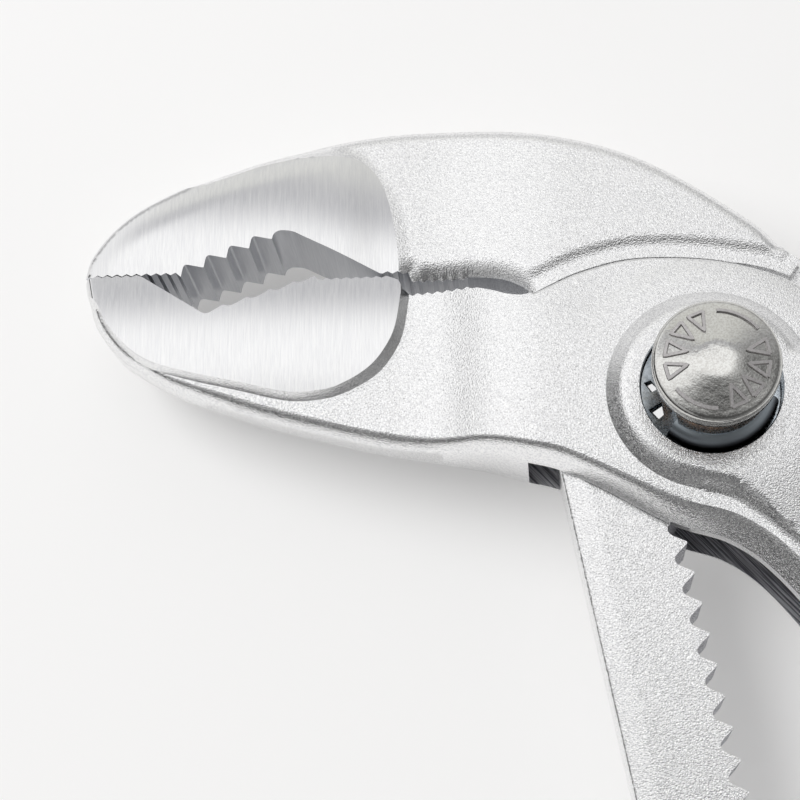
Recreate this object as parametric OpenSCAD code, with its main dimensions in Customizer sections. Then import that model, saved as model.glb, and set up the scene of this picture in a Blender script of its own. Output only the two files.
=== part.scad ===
// Box-joint water pump pliers with a push-button lock, lying flat on their back.
// X runs along the closed jaws towards the pivot and Z is the pivot axis.
// Z = 0 is the back of the pivot boss, where the tool rests.

/* [Thicknesses] */
// Pivot boss and the raised spine of the outer handle
boss_thick = 15.4; // [15.2:0.1:16]
// Box joint, over both cheeks
box_thick = 13.8; // [13.4:0.1:14.4]
// Upper jaw's shoulder beside the box
shoulder_thick = 11.4; // [11:0.1:12]
// Ground gripping pads of the jaws
pad_thick = 9.8; // [9.4:0.1:10.4]
// Jaws round the pads
jaw_thick = 8.2; // [7.8:0.1:8.8]
// Slotted arm of the inner lever
arm_thick = 7; // [6.6:0.1:7.2]
// Outer handle where its grip starts
handle_thick = 7.4; // [7:0.2:9]
// Clearance between the arm and each cheek
arm_gap = 0.1; // [0.05:0.05:0.2]

/* [Slotted arm] */
// Lean of the arm from the Y axis, in degrees
arm_lean = 10.8; // [10:0.1:11.5]
// Arm's edge on the rack side, from the pivot
arm_left = 16.2; // [15.8:0.1:16.6]
// Arm's edge on the plain side, from the pivot
arm_right = 13.5; // [13:0.1:13.8]
// Radius of the arm's round head
head_r = 17.3; // [17:0.1:17.6]
// Pitch of the rack
pitch = 3.1; // [3:0.05:3.2]
// Steps that the pivot can move along the rack
steps = 12; // [6:6:12]
// Depth of the rack teeth
rack_depth = 1.55; // [1.4:0.05:1.6]
// Rack roots, from the pivot
rack_root = 7.1; // [7.05:0.05:7.3]

/* [Hinge and lock] */
// Pivot bore in both cheeks, radius
bore_r = 7; // [6.8:0.1:7]
// Radial running clearance of the hinge bolt
run_gap = 0.07; // [0.04:0.01:0.1]
// Hinge bolt's head under the button, radius
bolt_head_r = 5.6; // [5.4:0.1:5.8]
// Flat on the hinge bolt that clears the rack, from the pivot
bolt_flat = 4.3; // [4.2:0.1:4.4]
// Height of the lock's teeth
lock_height = 2.8; // [2.4:0.1:3]
// Travel of the push button
press = 3.2; // [3:0.1:3.4]
// Clearance of the lock's teeth in the rack
lock_gap = 0.12; // [0.1:0.01:0.2]
// Lock's stem, radius
stem_r = 2.4; // [2.2:0.1:2.6]
// Push button, radius
button_r = 6.05; // [5.9:0.05:6.2]
// Height of the button's upper edge
button_top = 23.5; // [23.3:0.1:24]
// Thickness of the button's rim
button_rim = 2.3; // [2.1:0.1:2.4]
// Crown of the button above its edge
button_crown = 0.5; // [0.3:0.1:0.8]
// Wire of the return spring, diameter
wire = 0.7; // [0.6:0.05:0.75]
// Radius of the return spring's lowest turn
spring_r_low = 4.7; // [4.5:0.05:4.7]
// Radius of the return spring's highest turn
spring_r_high = 3.15; // [3.1:0.05:3.3]
// Turns of the return spring
spring_turns = 2.25; // [2:0.25:2.25]

/* [Jaw teeth] */
// Pitch of the fine teeth at the tip and in the throat
fine_pitch = 1.04; // [1:0.01:1.06]
// Depth of the fine teeth
fine_depth = 0.45; // [0.3:0.05:0.5]
// Gap between the closed jaws at the tip
tip_gap = 0.15; // [0.1:0.05:0.2]

/* [Grips] */
// Wall of the grip beside the handle
grip_wall = 3; // [2.5:0.1:3.5]

/* [Hidden] */
$fn = 96;
steel = "lightsteelblue";
mid_z = boss_thick / 2;
arm_low = mid_z - arm_thick / 2;
arm_high = mid_z + arm_thick / 2;
bolt_r = bore_r - run_gap;
travel = pitch * steps;
boss_r = 9;
boss_foot_r = 10.5;
boss_rise = (boss_thick - box_thick) / 2;
boss_root = 0.5;
boss_root_r = boss_foot_r + (boss_foot_r - boss_r) * boss_root / boss_rise;
cheek_r = 14.3;
ledge_r = 14.8;
ledge_height = 0.4;
cove_r = 15.2;
cove_slope = 1.8;
cove_height = 2.6;
slot_right = bore_r + 0.05;
slot_end_angle = 138;
far = 300;

// Closed jaws meet along this line
bite_y = 14.8;
upper_bite = bite_y + tip_gap / 2;
lower_bite = bite_y - tip_gap / 2;

// Hinge bolt: end disc, snap ring groove, half journal in the upper cheek
end_disc = 0.9;
ring_low = 1.95;
ring_thick = 1;
ring_play = 0.08;
ring_in_r = 6.3;
ring_out_r = 7.8;
ring_opening = 58;
half_journal_top = 13.6;
half_journal_start = -38;
half_journal_end = 142;
web_w = 3;
lock_low = arm_low + 0.05;
button_seat = button_top - 1;
button_low = button_top - button_rim;
button_wall = 0.95;
button_edge = 0.6;
bolt_top = button_low - press - 0.5;

// Points of a smooth curve through the listed points
function curve(p, n = 5) = [
    for (i = [0 : len(p) - 2], j = [0 : n - 1])
        let (t = j / n, b = p[i], c = p[i + 1],
             a = p[max(i - 1, 0)], d = p[min(i + 2, len(p) - 1)])
        b + (c - a) * t / 2 + (2 * a - 5 * b + 4 * c - d) * t * t / 2
            + (3 * b - a - 3 * c + d) * t * t * t / 2,
    p[len(p) - 1]];
function arc(r, from, to, n = 12) = [for (i = [0 : n]) r * turn_dir(from + (to - from) * i / n)];
function turn_dir(a) = [cos(a), sin(a)];
function leaned(p) = [for (q = p) q[0] * turn_dir(arm_lean) + q[1] * turn_dir(arm_lean + 90)];
function reversed(p) = [for (i = [len(p) - 1 : -1 : 0]) p[i]];

// A row of small teeth along X, from a tip at p: depth is towards +Y when positive
function fine_teeth(p, count, depth) = [
    for (i = [0 : count - 1], half = [0, 1])
        p + [(i + half / 2) * fine_pitch, half * depth]];
// A row of saw teeth: tip, then the root that follows it
function saw_teeth(p, step, root, count) = [
    for (i = [0 : count - 1], at = [[0, 0], root]) p + i * step + at];

// Upper jaw, from the tip along the bite to the throat and the shoulder beside the cheeks
upper_tip = [-64.5, upper_bite + 0.2];
coarse_start = [-54.2, 14.65];
coarse_step = [2.4, 0.97];
coarse_root = [0.6, 1.25];
upper_crest = [-43.5, 19.5];
throat_start = [-33, 14.1];
throat_end = [-17.9, 12];
upper_bite_line = concat(
    [upper_tip],
    fine_teeth([-63.6, upper_bite], 9, fine_depth),
    saw_teeth(coarse_start, coarse_step, coarse_root, 4),
    [coarse_start + 4 * coarse_step, upper_crest - [0.5, 0.1], upper_crest + [0.4, -0.05]],
    fine_teeth(throat_start, 3, fine_depth),
    fine_teeth(throat_start + [3 * fine_pitch, -0.6], 6, fine_depth),
    curve([[-23.4, 13.6], [-20.7, 13.4], [-18.9, 12.7], throat_end]));
upper_back = curve([[8.65, 15], [5.2, 19], [-4.9, 26], [-14.2, 29.4], [-25.8, 31.1], [-36.6, 30.5],
                    [-48.4, 27.4], [-56.9, 23.7], [-61.1, 20.8], [-63.8, 17.4], upper_tip]);
upper_shoulder = concat([[-13.9, 13.4], [-10.8, 14.5], [-7.5, 14.95]], arc(ledge_r, 104, 60));
upper_outline = concat(upper_bite_line, upper_shoulder, upper_back);
upper_pad_edge = curve([[-29.9, 11], [-30.3, 16.5], [-31.6, 21.4], [-34.6, 26.4], [-40, 32]]);

// Lower jaw, from the throat back along the bite to the tip
lower_tip = [-64.7, lower_bite - 0.2];
lower_vee = [-51.2, 10.2];
lower_coarse_step = [2.45, 0.78];
lower_coarse_root = [0.75, -0.65];
lower_throat = [-30.4, 12.4];
lower_bite_line = concat(
    [lower_tip],
    fine_teeth([-63.6, lower_bite], 5, -fine_depth),
    [[-58.3, lower_bite], lower_vee],
    saw_teeth(lower_vee + [1.6, 1.2], lower_coarse_step, lower_coarse_root, 5),
    [[-37.6, 13.75], [-31.2, 13.4]],
    fine_teeth(lower_throat, 7, -fine_depth),
    curve([[-22.8, 12.4], [-20.8, 11.8], [-19.2, 11.5], [-17.8, 11.2]]));
cheek_edge = concat([[-13.6, 12.6], [-10.7, 13.7], [-7.5, 14.2]], arc(cheek_r, 104, 38));
handle_right = curve([[12.6, 8.4], [15.4, 7.2], [20.5, 3.6], [27, -5.5], [34.5, -18.5], [42.3, -33.4],
                      [51.4, -57.1], [63.6, -91.1], [80.9, -133.2], [98.2, -176.3]]);
handle_left = curve([[89.8, -179.7], [72.1, -136.8], [54.4, -94.9], [38.6, -62.9], [25.7, -43],
                     [19.5, -35.5], [13.5, -28.5], [6.2, -19], [1.5, -15.1], [-4, -13.1], [-11, -9.1],
                     [-17.5, -6.1], [-28, -4], [-40, -1.6], [-52, 2.4], [-59.2, 6], [-63.6, 10.4],
                     lower_tip]);
lower_outline = concat(lower_bite_line, cheek_edge, handle_right, handle_left);
lower_pad_outline = concat(
    [[-67, 16], [-31.1, 16]],
    curve([[-30.6, 12], [-31.1, 7.9], [-33.2, 4.2], [-36.2, 2.1], [-39.3, 1.3], [-43.9, 1.7],
           [-51.8, 3.6], [-57.4, 5.4], [-60.5, 8], [-67, 12]]));

// Pocket between the cheeks, open above and below the pivot
pocket_outline = [[-18.3, -30], [-18.3, -5], [-19.5, 9.5], [-19.2, 40], [22, 40], [14.9, 2],
                  [14.9, -3.5], [25, -57]];
spine_outline = concat(
    curve([[-4, 8], [6, 9.4], [16, 3.5], [26, -10], [38, -32], [48.5, -57], [57, -80]]),
    curve([[50, -82], [35.5, -54], [22, -32], [11, -18], [6.4, -13.9], [3.4, -11.4], [-3, -8]]));

// Slotted arm, upright about the pivot and then leaned, and the inner handle below it
arm_low_left = [-arm_left, -50];
arm_low_right = [arm_right, -44];
arm_head = concat(
    arc(head_r, acos(arm_right / head_r), 50),
    [[5, 18], [-12, 18], [-15.3, 15.1], [-arm_left, 12.5]]);
inner_left = curve(concat(leaned([arm_low_left]), [[-2, -63], [7, -79], [16.4, -95.4],
                          [29.4, -125.7], [44.2, -156.1], [54, -175.2]]));
inner_right = curve(concat([[62.5, -170.8], [52.8, -151.9], [38.1, -121.8], [25.1, -91.6],
                           [21.5, -72], [21.3, -56]], leaned([arm_low_right])));
inner_outline = concat(leaned(arm_head), inner_left, inner_right);

// Half thickness along a lever: points of distance and half thickness
upper_profile = [[-70, jaw_thick / 2], [-29, jaw_thick / 2], [-14, shoulder_thick / 2],
                 [20, shoulder_thick / 2]];
lower_profile = [[-70, jaw_thick / 2], [-26.3, jaw_thick / 2], [-20.5, box_thick / 2],
                 [far, box_thick / 2]];
handle_profile = [[-far, box_thick / 2], [34, box_thick / 2], [66, handle_thick / 2],
                  [far, handle_thick / 2]];
spine_rise = boss_rise - 0.1;
spine_profile = [[-far, box_thick / 2 + spine_rise], [34, box_thick / 2 + spine_rise],
                 [66, handle_thick / 2 + spine_rise],
                 [92, handle_thick / 2 - 0.1], [far, handle_thick / 2 - 0.1]];
handle_dir = -62;

// Grip runs, start to end along the middle of each handle
upper_grip_run = curve([[20.75, -93.5], [33.75, -123.75], [48.5, -154], [60.5, -177.4]], 6);
lower_grip_run = curve([[59, -93], [76.5, -135], [95.9, -182.6]], 9);
grip_sides = 20;
handle_half_w = 4.75;
grip_half_w = handle_half_w + grip_wall;
grip_flare = 1.1;

// A flat shape raised evenly about the middle plane
module plate(points, thick) {
    translate([0, 0, mid_z - thick / 2])
        linear_extrude(thick)
            polygon(points);
}

// A long bar whose thickness follows a profile along X
module profile_bar(profile) {
    below = reversed([for (p = profile) [p[0], -p[1]]]);
    translate([0, far, mid_z])
        rotate([90, 0, 0])
            linear_extrude(2 * far)
                polygon(concat(profile, below));
}

// Slot of the arm with the rack on its left side, upright about the pivot
function rack_teeth(play) = [
    for (i = [-1 : steps + 2], at = [[rack_depth, 0], [0, 0.36], [0, 0.64]])
        if (i < steps + 2 || at[1] == 0)
            [at[0] - rack_root - play, -(i - 0.5 + at[1]) * pitch]];
function slot_outline(play = 0) = concat(
    arc(slot_right, 0, slot_end_angle),
    rack_teeth(play),
    [for (p = arc(slot_right, -slot_end_angle, 0)) p - [0, travel]]);

module upper_jaw_lever() {
    color(steel)
        difference() {
            union() {
                intersection() {
                    plate(upper_outline, box_thick);
                    profile_bar(upper_profile);
                }
                intersection() {
                    plate(upper_outline, pad_thick);
                    plate(concat(upper_pad_edge, [[-70, 32], [-70, 11]]), pad_thick);
                }
                plate(inner_outline, arm_thick);
            }
            rotate(arm_lean)
                translate([0, 0, -1])
                    linear_extrude(boss_thick + 2)
                        polygon(slot_outline());
            for (side = [0, 1])
                translate([0, 0, mid_z])
                    mirror([0, 0, side])
                        translate([0, 0, arm_thick / 2 + ledge_height])
                            cylinder(h = cove_height, r1 = cove_r, r2 = cove_r + cove_slope);
        }
}

module lower_jaw_lever() {
    color(steel)
        difference() {
            union() {
                intersection() {
                    plate(lower_outline, box_thick);
                    profile_bar(lower_profile);
                    rotate(handle_dir)
                        profile_bar(handle_profile);
                }
                intersection() {
                    plate(lower_outline, pad_thick);
                    plate(lower_pad_outline, pad_thick);
                }
                intersection() {
                    plate(spine_outline, boss_thick);
                    rotate(handle_dir)
                        profile_bar(spine_profile);
                }
                for (side = [0, 1])
                    translate([0, 0, mid_z])
                        mirror([0, 0, side])
                            translate([0, 0, box_thick / 2 - boss_root])
                                cylinder(h = boss_root + boss_rise, r1 = boss_root_r, r2 = boss_r);
            }
            plate(pocket_outline, arm_thick + 2 * arm_gap);
            translate([0, 0, -1])
                cylinder(h = boss_thick + 2, r = bore_r);
            translate([0, 0, ring_low - ring_play])
                cylinder(h = ring_thick + 2 * ring_play, r = ring_out_r + 0.1);
        }
}

// Round bar with a flat on the rack side, upright about the pivot
module flatted_bar(r, low, high) {
    difference() {
        translate([0, 0, low])
            cylinder(h = high - low, r = r);
        translate([-2 * r - bolt_flat, -r, low - 1])
            cube([2 * r, 2 * r, high - low + 2]);
    }
}

module hinge_bolt() {
    color("slategray")
        rotate(arm_lean)
            difference() {
                union() {
                    cylinder(h = end_disc, r = bolt_r);
                    flatted_bar(bolt_r, end_disc, arm_high);
                    flatted_bar(bolt_head_r, arm_high, bolt_top);
                    intersection() {
                        flatted_bar(bolt_r, arm_high, half_journal_top);
                        translate([0, 0, arm_high])
                            linear_extrude(half_journal_top - arm_high)
                                polygon(concat([[0, 0]],
                                    arc(2 * bolt_r, half_journal_start - arm_lean,
                                        half_journal_end - arm_lean)));
                    }
                }
                translate([0, 0, end_disc])
                    cylinder(h = bolt_top, r = stem_r + 0.05);
                translate([-bolt_r, -web_w / 2 - 0.05, end_disc])
                    cube([bolt_r, web_w + 0.1, bolt_top]);
                translate([0, 0, ring_low - ring_play])
                    difference() {
                        cylinder(h = ring_thick + 2 * ring_play, r = bolt_r + 1);
                        translate([0, 0, -1])
                            cylinder(h = ring_thick + 3, r = ring_in_r - 0.1);
                    }
            }
}

module toothed_lock() {
    color("whitesmoke")
        rotate(arm_lean)
            union() {
                translate([0, 0, lock_low])
                    cylinder(h = button_seat - lock_low + 0.5, r = stem_r);
                translate([-bolt_flat - 0.6, -web_w / 2, lock_low])
                    cube([bolt_flat + 0.6, web_w, lock_height]);
                intersection() {
                    translate([0, 0, lock_low])
                        difference() {
                            cylinder(h = lock_height, r = bolt_r);
                            translate([-bolt_flat - 0.05, -bolt_r, -1])
                                cube([2 * bolt_r, 2 * bolt_r, lock_height + 2]);
                        }
                    translate([0, 0, lock_low])
                        linear_extrude(lock_height)
                            polygon(slot_outline(-lock_gap * sqrt(2)));
                }
            }
}

module push_button() {
    flat_r = button_r - button_edge;
    crown_r = (flat_r * flat_r + button_crown * button_crown) / (2 * button_crown);
    edge_arc = [for (p = arc(button_edge, 0, 90, 4)) p + [flat_r, button_top - button_edge]];
    crown_arc = [for (i = [1 : 8])
                 let (r = flat_r * (1 - i / 8))
                 [r, button_top + button_crown - crown_r + sqrt(crown_r * crown_r - r * r)]];
    socket = [[0, button_seat + 0.5], [stem_r, button_seat + 0.5], [stem_r, button_seat],
              [button_r - button_wall, button_seat], [button_r - button_wall, button_low],
              [button_r, button_low]];
    color("gainsboro")
        rotate_extrude()
            polygon(concat(socket, edge_arc, crown_arc));
}

spring_low = bolt_top + 0.02 + wire / 2;
spring_high = button_seat - 0.02 - wire / 2;
spring_rings = 8 * spring_turns;
function spring_point(i) =
    let (t = i / spring_rings, r = spring_r_low + (spring_r_high - spring_r_low) * t)
    concat(r * turn_dir(360 * i / 8), spring_low + (spring_high - spring_low) * t);
spring_gap = min([for (i = [0 : spring_rings], j = [0 : spring_rings])
                  if (j - i >= 4) norm(spring_point(j) - spring_point(i))]) - wire;
echo("least gap between the spring's turns", spring_gap);

module return_spring() {
    sides = 6;
    points = [for (i = [0 : spring_rings], k = [0 : sides - 1])
              spring_point(i) + concat(wire / 2 * cos(360 * k / sides) * turn_dir(360 * i / 8),
                                       wire / 2 * sin(360 * k / sides))];
    skin = [for (i = [0 : spring_rings - 1], k = [0 : sides - 1], half = [0, 1])
            let (a = i * sides + k, b = i * sides + (k + 1) % sides)
            half == 0 ? [a, b, b + sides] : [a, b + sides, a + sides]];
    start = [for (k = [1 : sides - 2]) [0, k + 1, k]];
    last = spring_rings * sides;
    end = [for (k = [1 : sides - 2]) [last, last + k, last + k + 1]];
    color("peru")
        polyhedron(points, concat(skin, start, end));
}

module retaining_ring() {
    color("dimgray")
        rotate(arm_lean)
            translate([0, 0, ring_low])
                difference() {
                    cylinder(h = ring_thick, r = ring_out_r);
                    translate([0, 0, -1])
                        cylinder(h = ring_thick + 2, r = ring_in_r);
                    translate([0, 0, -1])
                        linear_extrude(ring_thick + 2)
                            polygon(concat([[0, 0]],
                                arc(2 * ring_out_r, 180 - ring_opening, 180 + ring_opening)));
                }
}

// Rounded sleeve along a run, before the handle is cut out of it
module grip_sleeve(run) {
    last = len(run) - 1;
    function along(i) = let (d = run[min(i + 1, last)] - run[max(i - 1, 0)]) d / norm(d);
    function swell(i) = i == last ? 0.55 : i == last - 1 ? 0.92 : 1 + grip_flare / grip_half_w
                        * max(0, 1 - i / 3);
    function squared(v) = sign(v) * pow(abs(v), 0.55);
    points = [for (i = [0 : last], k = [0 : grip_sides - 1])
              let (a = 360 * (k + 0.5) / grip_sides, side = [-along(i)[1], along(i)[0]],
                   u = squared(cos(a)) * grip_half_w * swell(i),
                   v = squared(sin(a)) * mid_z * min(1, swell(i)))
              concat(run[i] + u * side, mid_z + v)];
    skin = [for (i = [0 : last - 1], k = [0 : grip_sides - 1], half = [0, 1])
            let (a = i * grip_sides + k, b = i * grip_sides + (k + 1) % grip_sides)
            half == 0 ? [a, a + grip_sides, b + grip_sides] : [a, b + grip_sides, b]];
    start = [for (k = [1 : grip_sides - 2]) [0, k, k + 1]];
    end_ring = last * grip_sides;
    end = [for (k = [1 : grip_sides - 2]) [end_ring, end_ring + k + 1, end_ring + k]];
    polyhedron(points, concat(skin, start, end));
}

module upper_lever_grip() {
    color("darkslategray")
        difference() {
            grip_sleeve(upper_grip_run);
            plate(inner_outline, arm_thick);
        }
}

module lower_lever_grip() {
    color("darkslategray")
        difference() {
            grip_sleeve(lower_grip_run);
            plate(concat(handle_right, handle_left), handle_thick);
        }
}

upper_jaw_lever();
lower_jaw_lever();
hinge_bolt();
toothed_lock();
push_button();
return_spring();
retaining_ring();
upper_lever_grip();
lower_lever_grip();
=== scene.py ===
"""Satin-chromed water pump pliers on a white table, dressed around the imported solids.

Outlines are in millimetres about the pivot, as in the part's source, and meshes are in metres.
"""
import math

import bpy
import numpy as np
from mathutils import Matrix, Vector
from mathutils.geometry import delaunay_2d_cdt


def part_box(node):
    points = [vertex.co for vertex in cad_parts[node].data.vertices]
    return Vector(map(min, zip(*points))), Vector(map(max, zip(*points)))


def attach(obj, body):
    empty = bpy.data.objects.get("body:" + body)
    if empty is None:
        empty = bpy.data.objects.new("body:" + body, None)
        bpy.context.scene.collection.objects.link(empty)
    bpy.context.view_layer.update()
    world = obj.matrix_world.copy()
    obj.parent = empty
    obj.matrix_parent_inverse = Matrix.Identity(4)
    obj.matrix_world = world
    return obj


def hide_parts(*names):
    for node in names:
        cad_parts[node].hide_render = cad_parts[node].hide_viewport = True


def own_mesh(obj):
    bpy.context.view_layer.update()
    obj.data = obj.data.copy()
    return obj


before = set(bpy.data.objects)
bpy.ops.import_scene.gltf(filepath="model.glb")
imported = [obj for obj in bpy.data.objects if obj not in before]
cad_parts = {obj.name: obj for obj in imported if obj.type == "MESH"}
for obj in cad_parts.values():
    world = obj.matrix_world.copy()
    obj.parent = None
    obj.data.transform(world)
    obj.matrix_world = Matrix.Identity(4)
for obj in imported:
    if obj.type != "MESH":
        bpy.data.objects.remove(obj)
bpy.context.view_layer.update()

MM = 0.001

# Sizes of the levers, in millimetres
boss_low, boss_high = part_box("lower_jaw_lever")
MID_Z = (boss_low.z + boss_high.z) / 2 / MM
BOSS_HALF = (boss_high.z - boss_low.z) / 2 / MM
BOX_HALF = 6.9
SHOULDER_HALF = 5.7
JAW_HALF = 4.1
PAD_RISE = 0.8
ARM_HALF = 3.5
ARM_GAP = 0.1
HANDLE_HALF = 3.7
HANDLE_ANGLE = math.radians(-62)
HANDLE_AXIS = np.array([math.cos(HANDLE_ANGLE), math.sin(HANDLE_ANGLE)])
LEAN = math.radians(10.8)
ARM_LEFT, ARM_RIGHT, HEAD_R = 16.2, 13.5, 17.3
BORE_R = 7.0
PITCH, STEPS, RACK_DEPTH, RACK_ROOT = 3.1, 12, 1.55, 7.1
FINE_PITCH, FINE_DEPTH = 1.04, 0.26
UPPER_BITE, LOWER_BITE = 14.875, 14.725

# Mesh spacing near the camera and on the handles, in millimetres
FINE_STEP, COARSE_STEP = 0.45, 1.3
EDGE_STEP, HOLLOW_STEP = 0.3, 2.0
VIEW_LOW_Y, VIEW_RIGHT_X = -42.0, 14.0

# A point this near to a line counts as lying on it
TOUCHING = 0.05

# Guard against a line's empty stretches, and how many points are measured at a time
TINY, BATCH = 1e-12, 2000


# Plane curves

def curve(points, steps=5):
    """Points of a smooth curve through the listed points."""
    p = np.array(points, float)
    padded = np.vstack([p[:1], p, p[-1:]])
    out = []
    for a, b, c, d in zip(padded, padded[1:], padded[2:], padded[3:]):
        for t in np.arange(steps) / steps:
            out.append(b + (c - a) * t / 2 + (2 * a - 5 * b + 4 * c - d) * t ** 2 / 2
                       + (3 * b - a - 3 * c + d) * t ** 3 / 2)
    return np.vstack(out + [p[-1]])


def arc(radius, start, end, steps=14):
    a = np.radians(np.linspace(start, end, steps + 1))
    return radius * np.column_stack([np.cos(a), np.sin(a)])


def leaned(points):
    """Points of the upright arm, turned to its lean."""
    c, s = math.cos(LEAN), math.sin(LEAN)
    return np.array(points, float) @ np.array([[c, s], [-s, c]])


def joined(*parts):
    return np.vstack([np.array(p, float).reshape(-1, 2) for p in parts])


def densified(line, step, closed=False):
    """The same line with no stretch longer than step."""
    line = np.array(line, float)
    ends = np.roll(line, -1, axis=0) if closed else line[1:]
    out = []
    for a, b in zip(line, ends):
        n = max(1, math.ceil(np.linalg.norm(b - a) / step))
        out.append(a + (b - a) * (np.arange(n) / n)[:, None])
    if not closed:
        out.append(line[-1:])
    return np.vstack(out)


def distance(points, line):
    """Distance from each point to a line of points."""
    a, b = line[:-1], line[1:]
    run = b - a
    length2 = np.maximum((run ** 2).sum(1), TINY)
    out = np.empty(len(points))
    for i in range(0, len(points), BATCH):
        p = points[i:i + BATCH, None, :]
        t = np.clip(((p - a) * run).sum(2) / length2, 0, 1)
        out[i:i + BATCH] = np.sqrt((((a + run * t[..., None]) - p) ** 2).sum(2).min(1))
    return out


def inside(points, polygon):
    """Which points lie in a closed polygon."""
    odd = np.zeros(len(points), bool)
    x, y = points[:, 0], points[:, 1]
    for (ax, ay), (bx, by) in zip(polygon, np.roll(polygon, -1, axis=0)):
        if ay != by:
            crosses = (ay > y) != (by > y)
            odd ^= crosses & (x < (bx - ax) * (y - ay) / (by - ay) + ax)
    return odd


def left_side(line):
    """Unit vectors to the left of a line, one at each of its points."""
    run = np.gradient(line, axis=0)
    return np.column_stack([-run[:, 1], run[:, 0]]) / np.linalg.norm(run, axis=1)[:, None]


def offset_line(line, offset):
    """The line moved sideways, to its left where offset is positive."""
    return line + offset * left_side(line)


def edge_of(polygon):
    """A polygon's edge, as a line that ends where it starts."""
    return np.vstack([polygon, polygon[:1]])


def depth_in(points, polygon):
    """Signed distance to a polygon's edge, positive inside."""
    return np.where(inside(points, polygon), 1, -1) * distance(points, edge_of(polygon))


def progress(value, start, end):
    """How far a value has come from start to end, between 0 and 1."""
    return np.clip((value - start) / (end - start), 0, 1)


def eased(value, start, end):
    """The same progress with a soft start and a soft end."""
    t = progress(value, start, end)
    return t * t * (3 - 2 * t)


def nearness(gap, width):
    """1 on a line, falling evenly to 0 at that width beside it."""
    return np.clip(1 - gap / width, 0, 1)


def soft_start(s, bend):
    """Zero before the start and then rising evenly, with a rounded bend."""
    return (s + np.sqrt(s * s + bend)) / 2


def rounding(depth, radius):
    """How far a rounded edge has dropped at that depth inside the outline."""
    t = nearness(depth, radius)
    return radius * (1 - np.sqrt(1 - t * t))


# Outlines of the upper jaw and the slotted inner lever

def fine_teeth(start, count, depth):
    return [np.array(start) + [(i + half / 2) * FINE_PITCH, half * depth]
            for i in range(count) for half in (0, 1)]


def stepped_teeth(start, step, count, profile):
    return [np.array(start) + i * np.array(step) + at for i in range(count) for at in profile]


UPPER_TIP = [-64.5, UPPER_BITE + 0.2]
upper_throat = joined(
    [[-33.3, 14.6]],
    fine_teeth([-33, 14.55], 3, FINE_DEPTH),
    fine_teeth([-29.88, 13.75], 6, FINE_DEPTH),
    curve([[-23.4, 13.95], [-20.7, 13.5], [-18.8, 12.65], [-17.8, 11.9]]))
upper_bite = joined(
    [UPPER_TIP],
    fine_teeth([-63.6, UPPER_BITE], 9, FINE_DEPTH),
    stepped_teeth([-54.2, 14.65], [2.4, 0.97], 4,
                  [[0, 0], [0.12, 0.6], [0.2, 0.98], [0.32, 1.22], [0.5, 1.32], [0.75, 1.3], [1.4, 1.16],
                   [2.2, 0.98]]),
    curve([[-44.6, 18.53], [-44.4, 19.1], [-43.9, 19.42], [-43.3, 19.45], [-42.4, 19.3],
           [-41.6, 18.9]], 4),
    upper_throat)
upper_back = curve([[8.65, 15], [5.2, 19], [-4.9, 26], [-14.2, 29.4], [-25.8, 31.1], [-36.6, 30.5],
                    [-48.4, 27.4], [-56.9, 23.7], [-61.1, 20.8], [-63.8, 17.4], UPPER_TIP], 8)
upper_pad = joined(
    curve([[-31.2, 12], [-31.3, 14.4], [-31.4, 17], [-31.8, 19.9], [-32.5, 23.1], [-33.7, 25.9],
           [-35.7, 27.6], [-38.2, 28.1], [-41.8, 27.9], [-45.9, 27.1], [-49.2, 26], [-52.5, 25],
           [-56, 24.8]], 8),
    [[-70, 25], [-70, 11]])
arm_left = leaned([[-ARM_LEFT, 12.5], [-ARM_LEFT, -50]])
arm_head = leaned(arc(HEAD_R, math.degrees(math.acos(ARM_RIGHT / HEAD_R)), 50))
inner_left = curve(joined(
    arm_left[1:],
    [[-2, -63], [7, -79], [16.4, -95.4], [29.4, -125.7], [44.2, -156.1], [54, -175.2]]))
inner_right = curve(joined(
    [[62.5, -170.8], [52.8, -151.9], [38.1, -121.8], [25.1, -91.6], [21.5, -72], [21.3, -56]],
    leaned([[ARM_RIGHT, -44]])))
inner_outline = joined(upper_bite, arm_left[:1], inner_left, inner_right, arm_head, upper_back[:-1])


SLOT_GAP, SLOT_ROUND = 0.05, 138
RACK_TOOTH = [[RACK_DEPTH, -0.03], [RACK_DEPTH, 0.03], [0.36, 0.3], [0.1, 0.38], [0, 0.47],
              [0, 0.53], [0.1, 0.62], [0.36, 0.7]]


def slot_outline():
    """Slot of the arm, with the rack on its left side."""
    right = BORE_R + SLOT_GAP
    rack = [[depth - RACK_ROOT, -(i - 0.5 + along) * PITCH]
            for i in range(-1, STEPS + 2) for depth, along in RACK_TOOTH]
    low_end = arc(right, -SLOT_ROUND, 0) - [0, PITCH * STEPS]
    return leaned(joined(arc(right, 0, SLOT_ROUND), rack, low_end))


# Outlines of the lower jaw and the outer lever

LOWER_TIP = [-64.7, LOWER_BITE - 0.2]
lower_bite = joined(
    [LOWER_TIP],
    fine_teeth([-63.6, LOWER_BITE], 5, FINE_DEPTH - 0.02),
    [[-58.3, LOWER_BITE], [-51.9, 10.5], [-51.4, 10.3], [-50.9, 10.45]],
    stepped_teeth([-49.6, 11.25], [2.45, 0.8], 4,
                  [[0, 0], [0.5, -0.14], [0.9, -0.08], [1.6, 0.25], [2.2, 0.62]]),
    fine_teeth([-39.8, 13.9], 8, -0.2),
    [[-31.3, 13.4], [-30.8, 12.5]],
    fine_teeth([-30.4, 12.35], 7, -FINE_DEPTH),
    curve([[-23.1, 12.1], [-21.6, 11.6], [-20, 11], [-18.6, 10.75]]))
cheek_edge = curve([[-17.4, 10.9], [-15.3, 11.9], [-13.4, 12.8], [-11, 13.6], [-8.6, 14.2], [-6.2, 14.45],
                    [-3.8, 14.45], [-1.4, 14.3], [1, 14], [3.3, 13.5], [5.6, 12.8], [7.9, 11.9],
                    [10.3, 10.4], [12, 8.9]], 6)
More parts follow.
